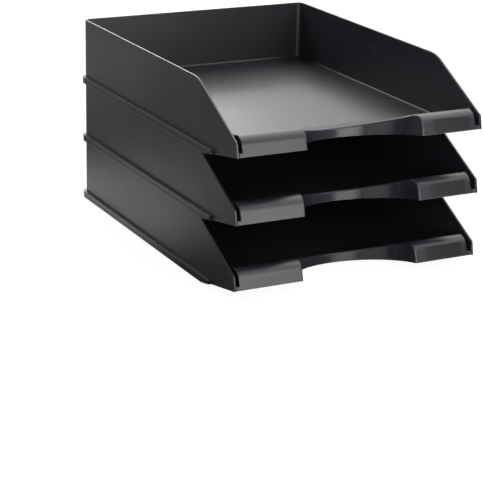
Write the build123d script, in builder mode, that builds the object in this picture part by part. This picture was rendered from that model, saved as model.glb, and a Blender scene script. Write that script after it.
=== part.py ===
"""A stack of three letter trays, each one a single moulding, resting rim in skirt.

Millimetres, +Z up, +Y to the closed back of the trays, so the low front lip faces -Y.
The origin is at the middle of the stack's footprint, on the surface that it stands on.
"""
from build123d import *
from math import cos, radians, sin, tan
import os

# Stack, from the bottom up
tray_names = ("tray_bottom", "tray_middle", "tray_top")

# Outside of one tray
tray_width = 255.0
tray_depth = 348.0
tray_height = 64.4
wall_thickness = 2.0
corner_radius = 6.6
rim_radius = 0.4

# Floor, and the ramp that rises from it to the lip
floor_top = 6.4
floor_thickness = 2.4
floor_fillet = 1.5
ramp_setback = 84.0
ramp_angle = 21.8
ramp_radius = 80.0

# Lip across the front
lip_bottom = 11.1
lip_lean = 17.0
lip_radius = 10.0
lip_inset = 0.8

# Sloping front ends of the side walls, each down to a nose, and the raised underside between them
slope_setback = 80.0
slope_radius = 38.0
nose_rise = 12.7
nose_lean = 11.0
nose_radius = 3.0
underside_setback = 63.0
underside_radius = 20.0

# Skirt round the foot of the walls, which drops over the rim of the tray below
skirt_height = 6.8
skirt_wall = 2.0
skirt_setback = 46.0
skirt_radius = 0.5
rim_clearance = 0.9
groove_bottom = 2.4
groove_height = 0.8
groove_depth = 0.35

# Finger scoop in the middle of the lip, with a curved wall of its own
scoop_radius = 58.5
scoop_centre = 3.5
scoop_wall = 2.0
scoop_edge_radius = 1.8

# Slots that part the lip from the side walls, each one a lined pocket open above and in front
slot_width = 4.2
slot_foot = 3.3
slot_depth = 18.0
slot_lining = 2.0
slot_edge_radius = 0.5

# Smooth label field sunk in the face of the lip, right of the scoop
label_width = 38.0
label_height = 12.6
label_depth = 0.5
label_foot = 0.9
label_margin = 10.2

# Places that follow from the sizes
skirt_reach = skirt_wall + rim_clearance
front = -tray_depth / 2
cavity_half = tray_width / 2 - skirt_reach - wall_thickness
cavity_back = tray_depth / 2 - skirt_reach - wall_thickness
lip_face = front + lip_inset
lip_half = cavity_half - slot_width
slot_bottom = lip_bottom + slot_foot
slot_back = front + slot_depth
lining_width = slot_width + slot_lining
lining_depth = slot_depth + slot_lining
skirt_front = front + skirt_setback
floor_underside = floor_top - floor_thickness
slope_corner = (front + slope_setback, tray_height)
nose_corner = (front + nose_rise * tan(radians(nose_lean)), lip_bottom + nose_rise)
underside_corner = (front + underside_setback, 0)

# The rim of one tray carries the underside of the next one's floor
pitch = tray_height - floor_underside

# Reach of the cuts that pass right through a tray
above = 2 * tray_height
below = -tray_height
beyond = 2 * front

# Slack for telling which edges lie on a plane
near = 0.01


def upper_corners():
    """Return the corners of floor, ramp, crest and lip face in the side view, back to front."""
    climb = tan(radians(ramp_angle))
    lean = tan(radians(lip_lean))
    bend = front + ramp_setback - ramp_radius * tan(radians(ramp_angle / 2))
    crest_height = (floor_top + (bend - lip_face + lip_bottom * lean) * climb) / (1 + climb * lean)
    crest = (lip_face + (crest_height - lip_bottom) * lean, crest_height)
    foot = (lip_face + (below - lip_bottom) * lean, below)
    return (cavity_back, floor_top), (bend, floor_top), crest, foot


def plan(inset, start):
    """Return a tray's outline from above, inset from the skirt, square at start, round at the back."""
    half = tray_width / 2 - inset
    back = tray_depth / 2 - inset
    corners = (-half, start), (-half, back), (half, back), (half, start)
    with BuildLine() as outline:
        FilletPolyline(*corners, radius=corner_radius + skirt_reach - inset)
        Line(corners[-1], corners[0])
    return outline.edges()


# Paper space: everything between the walls and above the floor, the ramp and the lip
with BuildPart() as cavity:
    with BuildSketch(Plane.YZ):
        with BuildLine():
            surface = FilletPolyline(*upper_corners(), radius=(ramp_radius, lip_radius))
            Polyline(surface @ 1, (beyond, below), (beyond, above), (cavity_back, above), surface @ 0)
        make_face()
    extrude(amount=cavity_half, both=True)
    fillet(cavity.edges().filter_by(Axis.Z).group_by(Axis.Y)[-1], radius=corner_radius - wall_thickness)
    fillet(cavity.faces().sort_by(Axis.Y)[-1].edges().sort_by(Axis.Z)[0], radius=floor_fillet)

# Hollow underneath: the skirt's channel for the rim below, and the space behind the lip
with BuildPart() as hollow:
    with BuildSketch(Plane.YZ):
        with BuildLine():
            surface = FilletPolyline(*upper_corners(), radius=(ramp_radius, lip_radius))
            Polyline(surface @ 1, (cavity_back, below), surface @ 0)
        make_face()
        offset(amount=-floor_thickness, kind=Kind.INTERSECTION)
    extrude(amount=cavity_half, both=True)
    with BuildSketch(Plane.XY.offset(floor_underside)):
        make_face(plan(skirt_wall, skirt_front + skirt_wall))
    extrude(amount=below)
    with BuildSketch(Plane.XY.offset(below)):
        with Locations((scoop_centre, front)):
            Circle(scoop_radius + scoop_wall)
        for hand in (-1, 1):
            with Locations((hand * (cavity_half - lining_width / 2), front + lining_depth / 2)):
                Rectangle(lining_width, lining_depth)
    extrude(amount=above - below, mode=Mode.SUBTRACT)

# Skirt: a solid foot with rounded edges and a shallow groove round it
with BuildPart() as skirt:
    with BuildSketch():
        make_face(plan(0, skirt_front))
    extrude(amount=skirt_height)
    fillet(skirt.edges(), radius=skirt_radius)
    with BuildSketch(Plane.XY.offset(groove_bottom)):
        make_face(plan(-groove_depth, skirt_front))
        make_face(plan(groove_depth, skirt_front), mode=Mode.SUBTRACT)
    extrude(amount=groove_height, mode=Mode.SUBTRACT)

# Side view that a tray is trimmed to: sloping walls with a nose, and the raised underside.
# The lip between the walls keeps its own crest, so the slope trims the walls alone.
with BuildPart() as envelope:
    with BuildSketch(Plane.YZ) as wall_side:
        with BuildLine():
            Polyline(
                (-front, 0), underside_corner, (front, lip_bottom),
                nose_corner, slope_corner, (-front, tray_height), close=True,
            )
        make_face()
        fillet(wall_side.vertices().sort_by_distance(underside_corner)[0], radius=underside_radius)
        fillet(wall_side.vertices().sort_by_distance(nose_corner)[0], radius=nose_radius)
        fillet(wall_side.vertices().sort_by_distance(slope_corner)[0], radius=slope_radius)
    extrude(amount=tray_width / 2, both=True)
    with BuildSketch(Plane.YZ) as middle_side:
        with BuildLine():
            Polyline(
                (-front, 0), underside_corner, (front, lip_bottom),
                (front, tray_height), (-front, tray_height), close=True,
            )
        make_face()
        fillet(middle_side.vertices().sort_by_distance(underside_corner)[0], radius=underside_radius)
    extrude(amount=cavity_half, both=True)

# One tray, cut from its outer block
with BuildPart() as moulding:
    with BuildSketch():
        make_face(plan(skirt_reach, front))
    extrude(amount=tray_height)
    add(skirt.part)
    add(cavity.part, mode=Mode.SUBTRACT)

    # Slots, with the ends of the lip beside them rounded
    with BuildSketch(Plane.XY.offset(slot_bottom)):
        for hand in (-1, 1):
            with Locations((hand * (lip_half + slot_width / 2), front + slot_depth / 2)):
                Rectangle(slot_width, slot_depth)
    extrude(amount=above, mode=Mode.SUBTRACT)
    lip_ends = moulding.edges(Select.LAST).filter_by(
        lambda edge: abs(abs(edge.center().X) - lip_half) < near
        and edge.center().Y < slot_back - near
        and edge.center().Z > slot_bottom + near
    )
    fillet(lip_ends, radius=slot_edge_radius)

    # Slopes and noses of the walls, with the rim rounded all round
    add(envelope.part, mode=Mode.INTERSECT)
    rim_edges = moulding.edges(Select.LAST).filter_by(
        lambda edge: abs(edge.center().X) > cavity_half - near and edge.center().Z > slot_bottom + near
    )
    fillet(rim_edges.filter_by(Axis.X, reverse=True), radius=rim_radius)

    # Finger scoop
    with BuildSketch(Plane.XY.offset(below)):
        with Locations((scoop_centre, front)):
            Circle(scoop_radius)
    extrude(amount=above - below, mode=Mode.SUBTRACT)
    scoop_face = moulding.faces().filter_by(GeomType.CYLINDER).sort_by(
        lambda face: abs(face.radius - scoop_radius)
    )[0]
    scoop_rim = scoop_face.edges().filter_by(lambda edge: edge.center().Z > floor_top)
    fillet(scoop_rim, radius=scoop_edge_radius)

    # Underside
    add(hollow.part, mode=Mode.SUBTRACT)

    # Label field
    face_plane = Plane(
        origin=(cavity_half - label_margin, lip_face, lip_bottom),
        x_dir=(1, 0, 0),
        z_dir=(0, -cos(radians(lip_lean)), sin(radians(lip_lean))),
    )
    with BuildSketch(face_plane.offset(-label_depth)):
        with Locations((0, label_foot)):
            Rectangle(label_width, label_height, align=(Align.MAX, Align.MIN))
    extrude(amount=2 * label_depth, mode=Mode.SUBTRACT)

# The stack
os.makedirs("parts", exist_ok=True)
for level, tray_name in enumerate(tray_names):
    with BuildPart() as tray:
        with Locations((0, 0, level * pitch)):
            add(moulding.part)
    tray.part.label = tray_name
    export_step(tray.part, f"parts/{tray_name}.step")
    print(tray_name, tray.part.bounding_box())
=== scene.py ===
"""Looks of a stack of letter trays: three satin black mouldings on a pale studio table.

Metres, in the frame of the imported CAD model: +Z up, and the low front lips face -Y.
"""

import logging
import math
from dataclasses import dataclass, field
from enum import Enum
from typing import ClassVar

import bmesh
import bpy
from mathutils import Euler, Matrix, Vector


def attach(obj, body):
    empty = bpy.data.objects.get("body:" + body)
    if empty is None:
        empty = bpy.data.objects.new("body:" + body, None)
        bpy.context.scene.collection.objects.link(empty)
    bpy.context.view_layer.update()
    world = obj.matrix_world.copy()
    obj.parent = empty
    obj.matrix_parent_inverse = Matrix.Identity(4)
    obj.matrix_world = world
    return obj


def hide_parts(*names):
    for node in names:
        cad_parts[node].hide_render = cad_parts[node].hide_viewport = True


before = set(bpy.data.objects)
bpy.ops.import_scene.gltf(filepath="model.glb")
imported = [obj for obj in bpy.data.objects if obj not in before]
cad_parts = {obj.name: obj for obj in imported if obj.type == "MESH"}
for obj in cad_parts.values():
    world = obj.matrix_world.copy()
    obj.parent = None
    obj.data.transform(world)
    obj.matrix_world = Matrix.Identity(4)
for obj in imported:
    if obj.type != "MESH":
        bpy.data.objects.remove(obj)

MILLIMETRE = 0.001
WHITE = (1.0, 1.0, 1.0, 1.0)
QUARTER_TURN = 0.25
STRONGEST_WEIGHT = 100

log = logging.getLogger("letter_trays")


class Surface(Enum):
    """The finishes that one moulding shows, in the order of its material slots."""

    MOULDED = 0
    LABEL_FIELD = 1
    SCOOP_WALL = 2


class Socket(Enum):
    """Types of the sockets of a shader node group."""

    VALUE = "NodeSocketFloat"
    VECTOR = "NodeSocketVector"


@dataclass
class NodeTree:
    """A node tree, with short ways to add nodes and join their sockets.

    Args:
        tree: The Blender node tree that nodes are added to.
    """

    tree: bpy.types.NodeTree

    def add(self, kind: str, **settings: object) -> bpy.types.Node:
        """Add a node.

        Args:
            kind: Blender's name of the node's type.
            settings: Properties of the node, by name.

        Returns:
            The new node.
        """
        node = self.tree.nodes.new(kind)
        for name, value in settings.items():
            setattr(node, name, value)
        return node

    def join(self, source: bpy.types.NodeSocket, target: bpy.types.NodeSocket) -> None:
        """Join an output socket to an input socket."""
        self.tree.links.new(source, target)

    def feed(self, target: bpy.types.NodeSocket, value: object) -> None:
        """Give an input socket a value, or join it to another socket.

        Args:
            target: The input socket.
            value: A number or vector to set, or an output socket to join.
        """
        if isinstance(value, bpy.types.NodeSocket):
            self.join(value, target)
        else:
            target.default_value = value

    def math(self, operation: str, *values: object, clamp: bool = False) -> bpy.types.NodeSocket:
        """Add a Math node.

        Args:
            operation: Name of the operation, such as MULTIPLY.
            values: Numbers or output sockets, one for each input.
            clamp: Whether the result is kept from 0 to 1.

        Returns:
            The socket with the result.
        """
        node = self.add("ShaderNodeMath", operation=operation, use_clamp=clamp)
        for socket, value in zip(node.inputs, values):
            self.feed(socket, value)
        return node.outputs[0]

    def ramp(self, value: bpy.types.NodeSocket, low: float, high: float, start: float = 0.0,
             end: float = 1.0) -> bpy.types.NodeSocket:
        """Map a value smoothly from one range to another.

        Args:
            value: The socket to map.
            low: Where the range read starts.
            high: Where the range read ends.
            start: The result at low.
            end: The result at high.

        Returns:
            The socket with the mapped value.
        """
        node = self.add("ShaderNodeMapRange", interpolation_type="SMOOTHSTEP")
        for name, number in (("From Min", low), ("From Max", high), ("To Min", start), ("To Max", end)):
            node.inputs[name].default_value = number
        self.join(value, node.inputs["Value"])
        return node.outputs["Result"]

    def noise(self, vector: bpy.types.NodeSocket, scale: object, detail: float = 2.0,
              roughness: float = 0.5) -> bpy.types.NodeSocket:
        """Add a noise texture.

        Args:
            vector: Coordinates that the noise is read at.
            scale: How many cells a metre holds.
            detail: Octaves of finer noise.
            roughness: How strong the finer octaves are.

        Returns:
            The socket with the noise's value, from 0 to 1.
        """
        node = self.add("ShaderNodeTexNoise")
        self.join(vector, node.inputs["Vector"])
        self.feed(node.inputs["Scale"], scale)
        node.inputs["Detail"].default_value = detail
        node.inputs["Roughness"].default_value = roughness
        return node.outputs["Fac"]

    def bump(self, height: bpy.types.NodeSocket, depth: float,
             under: bpy.types.NodeSocket | None = None) -> bpy.types.NodeSocket:
        """Add a Bump node.

        Args:
            height: The socket with the height.
            depth: How high a height of 1 stands.
            under: The normal that it is added to, or none for the surface's own.

        Returns:
            The socket with the new normal.
        """
        node = self.add("ShaderNodeBump")
        node.inputs["Distance"].default_value = depth
        self.join(height, node.inputs["Height"])
        if under is not None:
            self.join(under, node.inputs["Normal"])
        return node.outputs["Normal"]

    def blend(self, factor: bpy.types.NodeSocket, start: tuple[float, ...],
              end: tuple[float, ...]) -> bpy.types.NodeSocket:
        """Blend two colours.

        Args:
            factor: The socket that says how much of the second colour shows.
            start: The first colour.
            end: The second colour.

        Returns:
            The socket with the blended colour.
        """
        node = self.add("ShaderNodeMix", data_type="RGBA")
        self.join(factor, node.inputs["Factor"])
        first, second = (socket for socket in node.inputs if socket.type == "RGBA")
        first.default_value = start
        second.default_value = end
        return next(socket for socket in node.outputs if socket.type == "RGBA")

    def stretched(self, vector: bpy.types.NodeSocket, turn: float,
                  scale: tuple[float, float, float]) -> bpy.types.NodeSocket:
        """Turn coordinates about Z and stretch them.

        Args:
            vector: The coordinates.
            turn: Angle about Z, in radians.
            scale: Factor on each axis.

        Returns:
            The socket with the new coordinates.
        """
        node = self.add("ShaderNodeMapping")
        node.inputs["Rotation"].default_value = (0.0, 0.0, turn)
        node.inputs["Scale"].default_value = scale
        self.join(vector, node.inputs["Vector"])
        return node.outputs["Vector"]


def emptied(owner: bpy.types.Material | bpy.types.World) -> NodeTree:
    """Switch a new material or world to nodes.

    Args:
        owner: The material or world.

    Returns:
        Its node tree, with nothing in it.
    """
    owner.use_nodes = True
    owner.node_tree.nodes.clear()
    return NodeTree(owner.node_tree)


def linked(name: str, data: bpy.types.ID) -> bpy.types.Object:
    """Make an object and link it to the scene.

    Args:
        name: Name of the object.
        data: The mesh, camera or light that it holds.

    Returns:
        The new object.
    """
    made = bpy.data.objects.new(name, data)
    bpy.context.scene.collection.objects.link(made)
    return made


@dataclass
class Effect:
    """A shader node group with named inputs and outputs, shared by the finishes.

    Args:
        name: Name of the group.
        inputs: Each input's name, socket type and default value.
        outputs: Each output's name and socket type.
    """

    name: str
    inputs: dict[str, tuple[Socket, float]]
    outputs: dict[str, Socket]
    group: bpy.types.NodeTree = field(init=False)
    nodes: NodeTree = field(init=False)
    source: bpy.types.Node = field(init=False)
    sink: bpy.types.Node = field(init=False)

    def __post_init__(self) -> None:
        """Make the group with its sockets, then let the effect fill it."""
        self.group = bpy.data.node_groups.new(self.name, "ShaderNodeTree")
        for name, (kind, value) in self.inputs.items():
            socket = self.group.interface.new_socket(name=name, in_out="INPUT", socket_type=kind.value)
            if kind is Socket.VALUE:
                socket.default_value = value
        for name, kind in self.outputs.items():
            self.group.interface.new_socket(name=name, in_out="OUTPUT", socket_type=kind.value)
        self.nodes = NodeTree(self.group)
        self.source = self.nodes.add("NodeGroupInput")
        self.sink = self.nodes.add("NodeGroupOutput")
        self.fill()

    def fill(self) -> None:
        """Add the effect's own nodes."""
        raise NotImplementedError

    def given(self, name: str) -> bpy.types.NodeSocket:
        """Return the group's input of that name."""
        return self.source.outputs[name]

    def give(self, name: str, value: bpy.types.NodeSocket) -> None:
        """Join a value to the group's output of that name."""
        self.nodes.join(value, self.sink.inputs[name])

    def place(self, nodes: NodeTree, **values: object) -> bpy.types.Node:
        """Place the effect in a material.

        Args:
            nodes: The material's nodes.
            values: A number or socket for each input that differs from its default, by name.

        Returns:
            The group's node, whose outputs have the effect's names.
        """
        node = nodes.add("ShaderNodeGroup", node_tree=self.group)
        for name, value in values.items():
            nodes.feed(node.inputs[name], value)
        return node


class SparkGrain(Effect):
    """The fine matt grain that a spark-eroded mould leaves on a part."""

    FINER: ClassVar[float] = 2.3

    def __init__(self) -> None:
        """Name the sockets."""
        super().__init__(
            "spark_grain",
            {"Vector": (Socket.VECTOR, 0.0), "Grains": (Socket.VALUE, 2600.0)},
            {"Height": Socket.VALUE},
        )

    def fill(self) -> None:
        """Mix rounded pits with finer noise."""
        nodes = self.nodes
        pits = nodes.add("ShaderNodeTexVoronoi", feature="SMOOTH_F1")
        nodes.join(self.given("Vector"), pits.inputs["Vector"])
        nodes.join(self.given("Grains"), pits.inputs["Scale"])
        finer = nodes.math("MULTIPLY", self.given("Grains"), self.FINER)
        fine = nodes.noise(self.given("Vector"), finer, detail=3.0)
        self.give("Height", nodes.math("ADD", pits.outputs["Distance"], fine))


class FlowMarks(Effect):
    """Broad uneven patches, where the melt flowed and cooled at a different pace."""

    PATCH_RANGE: ClassVar[tuple[float, float]] = (0.3, 0.7)
    WAVES_PER_PATCH: ClassVar[float] = 2.0

    def __init__(self) -> None:
        """Name the sockets."""
        super().__init__(
            "flow_marks",
            {"Vector": (Socket.VECTOR, 0.0), "Patches": (Socket.VALUE, 9.0)},
            {"Patch": Socket.VALUE, "Waviness": Socket.VALUE},
        )

    def fill(self) -> None:
        """Read one noise for the finish and a smoother one for the surface's waviness."""
        nodes = self.nodes
        patch = nodes.noise(self.given("Vector"), self.given("Patches"), detail=4.0, roughness=0.55)
        rate = nodes.math("MULTIPLY", self.given("Patches"), self.WAVES_PER_PATCH)
        waves = nodes.noise(self.given("Vector"), rate, detail=1.0)
        self.give("Patch", nodes.ramp(patch, *self.PATCH_RANGE))
        self.give("Waviness", waves)


class Scuffs(Effect):
    """Faint rubbed lines that sheets and hands leave, in two directions.

    Each direction is a turn about Z and a stretch on each axis.
    """

    DIRECTIONS: ClassVar[tuple] = ((0.12, (900.0, 9.0, 60.0)), (1.35, (14.0, 1100.0, 80.0)))
    PEAKS: ClassVar[tuple[float, float]] = (0.66, 0.78)
    BREAKS: ClassVar[float] = 22.0
    BREAK_RANGE: ClassVar[tuple[float, float]] = (0.48, 0.62)

    def __init__(self) -> None:
        """Name the sockets."""
        super().__init__(
            "scuffs",
            {"Vector": (Socket.VECTOR, 0.0), "Amount": (Socket.VALUE, 0.5)},
            {"Mask": Socket.VALUE},
        )

    def fill(self) -> None:
        """Keep only the peaks of two long thin noises, broken up by a third."""
        nodes = self.nodes
        vector = self.given("Vector")
        lines = []
        for turn, scale in self.DIRECTIONS:
            streak = nodes.noise(nodes.stretched(vector, turn, scale), 1.0, detail=1.0)
            lines.append(nodes.ramp(streak, *self.PEAKS))
        broken = nodes.ramp(nodes.noise(vector, self.BREAKS, detail=2.0), *self.BREAK_RANGE)
        rubbed = nodes.math("MULTIPLY", nodes.math("MAXIMUM", *lines), broken)
        self.give("Mask", nodes.math("MULTIPLY", rubbed, self.given("Amount")))


class EdgeWearAndHighlight(Effect):
    """A mask of the edges and corners, which handling rubs first. The lighter colour that the plastic
    takes there is partly real wear and partly a painted highlight along the rims.

    LIKENESS is how alike the plain and the rounded normal are where the rubbing starts and where
    it is full.
    """

    SAMPLES: ClassVar[int] = 6
    LIKENESS: ClassVar[tuple[float, float]] = (0.995, 0.85)
    PATCHES: ClassVar[float] = 140.0
    PATCH_RANGE: ClassVar[tuple[float, float]] = (0.3, 0.62)
    LEAST_RUB: ClassVar[float] = 0.35

    def __init__(self) -> None:
        """Name the sockets."""
        super().__init__(
            "edge_wear_and_highlight",
            {"Vector": (Socket.VECTOR, 0.0), "Reach": (Socket.VALUE, 0.8 * MILLIMETRE)},
            {"Mask": Socket.VALUE},
        )

    def fill(self) -> None:
        """Compare the normal with one that is rounded over nearby edges."""
        nodes = self.nodes
        rounded = nodes.add("ShaderNodeBevel", samples=self.SAMPLES)
        nodes.join(self.given("Reach"), rounded.inputs["Radius"])
        plain = nodes.add("ShaderNodeNewGeometry")
        likeness = nodes.add("ShaderNodeVectorMath", operation="DOT_PRODUCT")
        nodes.join(rounded.outputs["Normal"], likeness.inputs[0])
        nodes.join(plain.outputs["Normal"], likeness.inputs[1])
        edge = nodes.ramp(likeness.outputs["Value"], *self.LIKENESS)
        patches = nodes.noise(self.given("Vector"), self.PATCHES, detail=3.0)
        patchy = nodes.ramp(patches, *self.PATCH_RANGE, start=self.LEAST_RUB)
        self.give("Mask", nodes.math("MULTIPLY", edge, patchy))


class DrawLines(Effect):
    """Fine level lines, left where a mould was polished in one direction."""

    COARSE: ClassVar[tuple[float, float, float]] = (24.0, 24.0, 900.0)
    FINE: ClassVar[tuple[float, float, float]] = (50.0, 50.0, 2600.0)
    FINE_SHARE: ClassVar[float] = 0.5

    def __init__(self) -> None:
        """Name the sockets."""
        super().__init__(
            "draw_lines",
            {"Vector": (Socket.VECTOR, 0.0)},
            {"Height": Socket.VALUE},
        )

    def fill(self) -> None:
        """Add a finer noise to a coarser one, both much longer than they are high."""
        nodes = self.nodes
        coarse, fine = (
            nodes.noise(nodes.stretched(self.given("Vector"), 0.0, scale), 1.0, detail=2.0)
            for scale in (self.COARSE, self.FINE)
        )
        self.give("Height", nodes.math("MULTIPLY_ADD", fine, self.FINE_SHARE, coarse))


@dataclass(frozen=True)
class Effects:
    """The effects that the finishes share, each built once."""

    grain: SparkGrain
    flow: FlowMarks
    scuffs: Scuffs
    rub_and_highlight: EdgeWearAndHighlight
    lines: DrawLines


@dataclass(frozen=True)
class BlackPolystyrene:
    """Satin black polystyrene as it comes from the mould.

    Args:
        name: Name of the material.
        tone: Base colour, linear.
        worn_and_highlight_tone: Base colour where it is rubbed. On the edges this lighter colour is
            partly a painted highlight.
        roughness: Roughness of the clean surface.
        spread: How much the roughness varies from patch to patch.
        grains: How many grains of the mould's texture a metre holds.
        grain_depth: Depth of that texture.
        wave_depth: Depth of the broad waviness.
        scuffing: Strength of the rubbed lines.
        wear_roughness: What wear adds to the roughness.
        refraction: Index of refraction of the plastic.
        shine: Level of the mirrored light, where 0.5 is what the refraction gives.
        polish: How far the polishing lines stretch a highlight across themselves, from 0 to 1.
        line_depth: Depth of those lines.
    """

    name: str = "satin_black_polystyrene"
    tone: tuple[float, float, float, float] = (0.0138, 0.0135, 0.0195, 1.0)
    worn_and_highlight_tone: tuple[float, float, float, float] = (0.05, 0.05, 0.055, 1.0)
    roughness: float = 0.42
    spread: float = 0.05
    grains: float = 2600.0
    grain_depth: float = 0.006 * MILLIMETRE
    wave_depth: float = 0.05 * MILLIMETRE
    scuffing: float = 0.5
    wear_roughness: float = 0.08
    refraction: float = 1.59
    shine: float = 0.5
    polish: float = 0.0
    line_depth: float = 0.0

    def material(self, effects: Effects) -> bpy.types.Material:
        """Build the material.

        Args:
            effects: The shared effects.

        Returns:
            The new material.
        """
        material = bpy.data.materials.new(self.name)
        nodes = emptied(material)
        shader = nodes.add("ShaderNodeBsdfPrincipled")
        output = nodes.add("ShaderNodeOutputMaterial")
        nodes.join(shader.outputs["BSDF"], output.inputs["Surface"])
        shader.inputs["IOR"].default_value = self.refraction
        shader.inputs["Specular IOR Level"].default_value = self.shine

        place = nodes.add("ShaderNodeTexCoord").outputs["Object"]
        grain = effects.grain.place(nodes, Vector=place, Grains=self.grains)
        flow = effects.flow.place(nodes, Vector=place)
        scuffs = effects.scuffs.place(nodes, Vector=place, Amount=self.scuffing)
        rub_and_highlight = effects.rub_and_highlight.place(nodes, Vector=place)
        wear_and_highlight = nodes.math("MAXIMUM", scuffs.outputs["Mask"], rub_and_highlight.outputs["Mask"], clamp=True)

        # The worn colour is real wear on the scuffs, and on the edges it is partly a painted highlight
        # along the rims.
        nodes.join(nodes.blend(wear_and_highlight, self.tone, self.worn_and_highlight_tone), shader.inputs["Base Color"])

        least = self.roughness - self.spread / 2
        patchy = nodes.math("MULTIPLY_ADD", flow.outputs["Patch"], self.spread, least)
        rough = nodes.math("MULTIPLY_ADD", wear_and_highlight, self.wear_roughness, patchy)
        nodes.join(rough, shader.inputs["Roughness"])

        normal = nodes.bump(flow.outputs["Waviness"], self.wave_depth)
        normal = nodes.bump(grain.outputs["Height"], self.grain_depth, normal)
        if self.polish:
            lines = effects.lines.place(nodes, Vector=place)
            normal = nodes.bump(lines.outputs["Height"], self.line_depth, normal)
            round_upright = nodes.add("ShaderNodeTangent", direction_type="RADIAL", axis="Z")
            nodes.join(round_upright.outputs["Tangent"], shader.inputs["Tangent"])
            shader.inputs["Anisotropic"].default_value = self.polish
            shader.inputs["Anisotropic Rotation"].default_value = QUARTER_TURN
        nodes.join(normal, shader.inputs["Normal"])
        return material


@dataclass
class TrayMoulding:
    """One letter tray: the CAD node's shape with its doubles merged and its sharp edges broken.

    Args:
        node: Name of the CAD node, which is also the name of the body that it rides on.
        edge_break: Width of the small round that a mould leaves on a sharp edge.
        sharp_angle: Least angle between two faces that counts as a sharp edge, in degrees.
        flat_angle: Greatest angle between two faces that are joined into one flat face, in degrees.
        merge_distance: How close two corners are that are merged into one.
        label_depth: How far the label field lies behind the face of the lip.
        label_slack: How far off that depth a face of the field may lie.
        lip_lean: Angle that the face of the lip leans back, in degrees.
        lean_slack: How far off that angle a face of the field may lean, in degrees.
        scoop_axis: Where the upright axis of the finger scoop's round wall stands.
        scoop_radius: Radius of that wall.
        scoop_slack: How far off that radius a face of the wall may lie.
        upright_slack: Greatest upward part of the normal of an upright face.
    """

    node: str
    edge_break: float = 0.2 * MILLIMETRE
    sharp_angle: float = 40.0
    flat_angle: float = 0.3
    merge_distance: float = 0.01 * MILLIMETRE
    label_depth: float = 0.5 * MILLIMETRE
    label_slack: float = 0.125 * MILLIMETRE
    lip_lean: float = 17.0
    lean_slack: float = 1.0
    scoop_axis: tuple[float, float] = (3.5 * MILLIMETRE, -174.0 * MILLIMETRE)
    scoop_radius: float = 58.5 * MILLIMETRE
    scoop_slack: float = 0.3 * MILLIMETRE
    upright_slack: float = 0.05

    def build(self, finishes: dict[Surface, bpy.types.Material]) -> bpy.types.Object:
        """Build the tray, dress it and let it stand for its CAD node.

        Args:
            finishes: A material for each surface.

        Returns:
            The tray's object.
        """
        shape = self.merged_shape()
        self.break_edges(shape)
        self.mark_label_field(shape)
        self.mark_scoop_wall(shape)
        mesh = bpy.data.meshes.new(f"{self.node}_moulding")
        shape.to_mesh(mesh)
        shape.free()
        for surface in Surface:
            mesh.materials.append(finishes[surface])
        mesh.set_sharp_from_angle(angle=math.radians(self.sharp_angle))
        tray = linked(f"{self.node}_moulding", mesh)
        weighted = tray.modifiers.new("even_shading", "WEIGHTED_NORMAL")
        weighted.keep_sharp = True
        weighted.weight = STRONGEST_WEIGHT
        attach(tray, self.node)
        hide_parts(self.node)
        return tray

    def merged_shape(self) -> bmesh.types.BMesh:
        """Return a copy of the CAD node's mesh with its doubles merged and its flat faces joined."""
        shape = bmesh.new()
        shape.from_mesh(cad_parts[self.node].data)
        bmesh.ops.remove_doubles(shape, verts=shape.verts, dist=self.merge_distance)
        bmesh.ops.dissolve_limit(
            shape, angle_limit=math.radians(self.flat_angle), verts=shape.verts, edges=shape.edges,
        )
        for face in shape.faces:
            face.smooth = True
            face.material_index = Surface.MOULDED.value
        return shape

    def break_edges(self, shape: bmesh.types.BMesh) -> None:
        """Round the sharp edges a little.

        Args:
            shape: The tray's mesh, which is changed.
        """
        sharp = [
            edge for edge in shape.edges
            if edge.is_manifold and edge.calc_face_angle() > math.radians(self.sharp_angle)
        ]
        bmesh.ops.bevel(
            shape, geom=sharp, offset=self.edge_break, offset_type="OFFSET", segments=2, profile=0.5,
            affect="EDGES", clamp_overlap=True, material=-1, loop_slide=True, harden_normals=False,
        )

    def mark_label_field(self, shape: bmesh.types.BMesh) -> None:
        """Give the sunken label field its own surface.

        Args:
            shape: The tray's mesh, which is changed.
        """
        lean = math.radians(self.lip_lean)
        outward = Vector((0.0, -math.cos(lean), math.sin(lean)))
        facing = math.cos(math.radians(self.lean_slack))
        reach = {
            face: face.calc_center_median().dot(outward)
            for face in shape.faces if face.normal.dot(outward) > facing
        }
        lip_reach = max(reach.values())
        for face, distance in reach.items():
            if abs(lip_reach - distance - self.label_depth) < self.label_slack:
                face.material_index = Surface.LABEL_FIELD.value

    def mark_scoop_wall(self, shape: bmesh.types.BMesh) -> None:
        """Give the upright wall of the finger scoop its own surface.

        Args:
            shape: The tray's mesh, which is changed.
        """
        for face in shape.faces:
            outward = face.calc_center_median().xy - Vector(self.scoop_axis)
            upright = abs(face.normal.z) < self.upright_slack
            if upright and abs(outward.length - self.scoop_radius) < self.scoop_slack:
                face.material_index = Surface.SCOOP_WALL.value


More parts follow.
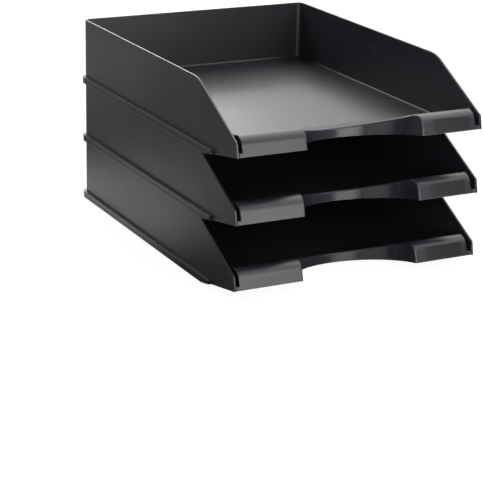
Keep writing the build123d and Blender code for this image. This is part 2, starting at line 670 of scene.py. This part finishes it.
@dataclass
class TrayStack:
    """The stack, from the bottom up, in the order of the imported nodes.

    Args:
        trays: The trays.
    """

    trays: list[TrayMoulding] = field(
        default_factory=lambda: [TrayMoulding(node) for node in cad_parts]
    )

    def build(self) -> list[bpy.types.Object]:
        """Build every tray.

        Returns:
            The trays' objects.
        """
        effects = Effects(SparkGrain(), FlowMarks(), Scuffs(), EdgeWearAndHighlight(), DrawLines())
        plastics = {
            Surface.MOULDED: BlackPolystyrene(),
            # The label field's darker tone is painted shade for the darker reflection of the sunken
            # field. Its lower roughness and finer grain are real.
            Surface.LABEL_FIELD: BlackPolystyrene(
                name="smooth_label_field_painted_darker", tone=(0.0125, 0.0125, 0.0165, 1.0), roughness=0.34,
                grain_depth=0.002 * MILLIMETRE,
            ),
            Surface.SCOOP_WALL: BlackPolystyrene(
                name="polished_scoop_wall", roughness=0.36, grain_depth=0.002 * MILLIMETRE,
                shine=0.8, polish=0.9, line_depth=0.012 * MILLIMETRE,
            ),
        }
        finishes = {surface: plastic.material(effects) for surface, plastic in plastics.items()}
        built = []
        for tray in self.trays:
            piece = tray.build(finishes)
            log.info("%s: %d faces", piece.name, len(piece.data.polygons))
            built.append(piece)
        return built


@dataclass
class PhotoCamera:
    """The camera, placed as the photograph was taken.

    Args:
        place: Where the camera stands.
        azimuth: Angle of its stand from straight in front, positive to the right, in radians.
        elevation: Angle above the horizon, in radians.
        roll: Turn about its own axis, in radians.
        lens: Focal length, in millimetres.
        sensor: Width of the sensor, in millimetres.
        nearest: Where the view starts.
        farthest: Where the view ends.
    """

    place: tuple[float, float, float] = (-0.77507, -1.44753, 0.54524)
    azimuth: float = -0.476048
    elevation: float = 0.331344
    roll: float = 0.022158
    lens: float = 128.13
    sensor: float = 36.0
    nearest: float = 0.05
    farthest: float = 50.0

    def build(self) -> bpy.types.Object:
        """Make the camera and use it for the scene.

        Returns:
            The camera's object.
        """
        data = bpy.data.cameras.new("photo_camera")
        data.lens = self.lens
        data.sensor_width = self.sensor
        data.clip_start = self.nearest
        data.clip_end = self.farthest
        camera = linked("photo_camera", data)
        camera.location = self.place
        turned = Euler((math.pi / 2 - self.elevation, 0.0, self.azimuth), "XYZ").to_matrix()
        rolled = Euler((0.0, 0.0, self.roll), "XYZ").to_matrix()
        camera.rotation_euler = (turned @ rolled).to_euler()
        bpy.context.scene.camera = camera
        return camera


@dataclass(frozen=True)
class SoftLight:
    """A rectangular soft light that points at the stack.

    Args:
        name: Name of the light.
        bearing: Its direction from the stack: 0 is behind it and 90 to its right, in degrees.
        climb: Its angle above the table, in degrees.
        distance: How far it stands from the stack.
        width: Its width.
        height: Its height.
        power: Its power, in watts.
        aim: The point that it faces.
    """

    name: str
    bearing: float
    climb: float
    distance: float
    width: float
    height: float
    power: float
    aim: tuple[float, float, float] = (0.0, 0.0, 0.1)

    def build(self) -> bpy.types.Object:
        """Make the light.

        Returns:
            The light's object.
        """
        data = bpy.data.lights.new(self.name, "AREA")
        data.shape = "RECTANGLE"
        data.size = self.width
        data.size_y = self.height
        data.energy = self.power
        light = linked(self.name, data)
        bearing, climb = math.radians(self.bearing), math.radians(self.climb)
        level = math.cos(climb)
        toward = Vector((level * math.sin(bearing), level * math.cos(bearing), math.sin(climb)))
        light.location = Vector(self.aim) + self.distance * toward
        light.rotation_euler = toward.to_track_quat("Z", "Y").to_euler()
        light.visible_camera = False
        return light


@dataclass
class Studio:
    """A pale table with a painted glow that reflections see, a dim room and soft lights, against a
    background that looks white.

    Args:
        table_half: Half the width of the table.
        table_tone: How much light the table gives back, beside its own white.
        glow: Brightness that the camera sees by the stack where no shadow falls, a little above white.
        shade_reach: Where the shadow's surroundings end and the table is plain white, measured from the
            middle of the painted glow.
        painted_glow_middle: Middle of a painted glow on the table. It is painted light that only
            reflections see, so they show that patch as nearly white.
        painted_glow_inner: Where that painted glow starts to fade, from its middle.
        painted_glow_outer: Where it has faded.
        painted_glow_glimpse: Share of the white background that a reflection of the painted glow shows.
        glimpse: Share of it that the other reflections show.
        fill: Strength of the room's light on the object.
        lights: The soft lights.
    """

    table_half: float = 6.0
    table_tone: float = 0.12
    glow: float = 1.06
    shade_reach: float = 0.9
    painted_glow_middle: tuple[float, float, float] = (-0.09, 0.16, 0.0)
    painted_glow_inner: float = 0.08
    painted_glow_outer: float = 0.24
    painted_glow_glimpse: float = 1.0
    glimpse: float = 0.05
    fill: float = 0.1
    lights: tuple[SoftLight, ...] = (
        SoftLight("back_box", 15.0, 43.0, 2.2, 2.6, 1.6, 45.0),
        SoftLight("back_core", 17.0, 22.0, 2.0, 0.5, 0.35, 5.2),
        SoftLight("overhead_box", 88.0, 68.0, 1.8, 1.2, 1.2, 14.0),
        SoftLight("right_box", 65.0, 20.0, 2.0, 1.2, 0.8, 4.5),
        SoftLight("front_left_box", -130.0, 12.0, 2.0, 1.6, 0.85, 7.5),
        SoftLight("front_right_box", 130.0, 43.0, 2.0, 1.4, 1.1, 9.0),
        SoftLight("left_strip", -44.0, 42.0, 1.8, 0.8, 0.5, 5.5),
        SoftLight("near_front_box", 177.0, 8.0, 0.6, 0.34, 0.25, 1.65),
        SoftLight("back_left_card", -24.0, -4.0, 0.6, 0.3, 0.1, 0.05),
    )

    def build(self) -> None:
        """Make the table, the room and the lights."""
        self.build_table()
        self.build_room()
        for light in self.lights:
            light.build()

    def build_table(self) -> bpy.types.Object:
        """Make the table.

        Returns:
            The table's object.
        """
        shape = bmesh.new()
        bmesh.ops.create_grid(shape, x_segments=1, y_segments=1, size=self.table_half)
        mesh = bpy.data.meshes.new("table")
        shape.to_mesh(mesh)
        shape.free()
        mesh.materials.append(self.table_material())
        table = linked("table", mesh)
        return table

    def table_material(self) -> bpy.types.Material:
        """Build a material that keeps the stack's shadow, is else white, and is clear from below. Near
        the stack's back it holds a painted glow that only reflections see.

        Returns:
            The new material.
        """
        material = bpy.data.materials.new("white_table_with_painted_glow")
        nodes = emptied(material)
        place = nodes.add("ShaderNodeTexCoord").outputs["Object"]
        measure = nodes.add("ShaderNodeVectorMath", operation="DISTANCE")
        nodes.join(place, measure.inputs[0])
        measure.inputs[1].default_value = self.painted_glow_middle
        away = measure.outputs["Value"]
        # Painted light: a glow on the table near the stack's back that only reflections see, brightest
        # in its middle.
        painted_glow_share = nodes.ramp(away, self.painted_glow_inner, self.painted_glow_outer, self.painted_glow_glimpse, self.glimpse)
        near_white = self.glow - self.table_tone
        white = nodes.ramp(away, self.painted_glow_outer, self.shade_reach, start=near_white)
        tone = self.table_tone
        diffuse = nodes.add("ShaderNodeBsdfDiffuse")
        diffuse.inputs["Color"].default_value = (tone, tone, tone, 1.0)
        glow = nodes.add("ShaderNodeEmission")
        nodes.join(nodes.math("MULTIPLY", self.seen(nodes, painted_glow_share), white), glow.inputs["Strength"])
        both = nodes.add("ShaderNodeAddShader")
        nodes.join(diffuse.outputs[0], both.inputs[0])
        nodes.join(glow.outputs[0], both.inputs[1])
        clear = nodes.add("ShaderNodeBsdfTransparent")
        one_sided = nodes.add("ShaderNodeMixShader")
        nodes.join(nodes.add("ShaderNodeNewGeometry").outputs["Backfacing"], one_sided.inputs["Fac"])
        nodes.join(both.outputs[0], one_sided.inputs[1])
        nodes.join(clear.outputs[0], one_sided.inputs[2])
        output = nodes.add("ShaderNodeOutputMaterial")
        nodes.join(one_sided.outputs[0], output.inputs["Surface"])
        return material

    def seen(self, nodes: NodeTree, reflected: object) -> bpy.types.NodeSocket:
        """Say how much of the white background a ray sees.

        Args:
            nodes: The nodes of the table or the room.
            reflected: Share of it that a reflection sees.

        Returns:
            The socket that is 1 for the camera, that share in a reflection, and 0 for other rays.
        """
        rays = nodes.add("ShaderNodeLightPath").outputs
        straight = nodes.math("MAXIMUM", rays["Is Camera Ray"], rays["Is Transmission Ray"])
        mirrored = nodes.math("MULTIPLY", rays["Is Glossy Ray"], reflected)
        return nodes.math("MAXIMUM", straight, mirrored)

    def build_room(self) -> None:
        """Make the world: white where it is seen, and a plain soft light on the object."""
        world = bpy.data.worlds.new("white_room")
        nodes = emptied(world)
        background = nodes.add("ShaderNodeBackground")
        seen = self.seen(nodes, self.glimpse)
        strength = nodes.math("MULTIPLY_ADD", seen, 1.0 - self.fill, self.fill)
        nodes.join(strength, background.inputs["Strength"])
        background.inputs["Color"].default_value = WHITE
        output = nodes.add("ShaderNodeOutputWorld")
        nodes.join(background.outputs[0], output.inputs["Surface"])
        bpy.context.scene.world = world


def main() -> None:
    """Build the stack, the studio and the camera."""
    logging.basicConfig(level=logging.INFO, format="%(name)s: %(message)s")
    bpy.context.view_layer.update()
    bpy.context.scene.view_settings.view_transform = "Standard"
    TrayStack().build()
    Studio().build()
    PhotoCamera().build()


if __name__ == "__main__":
    main()
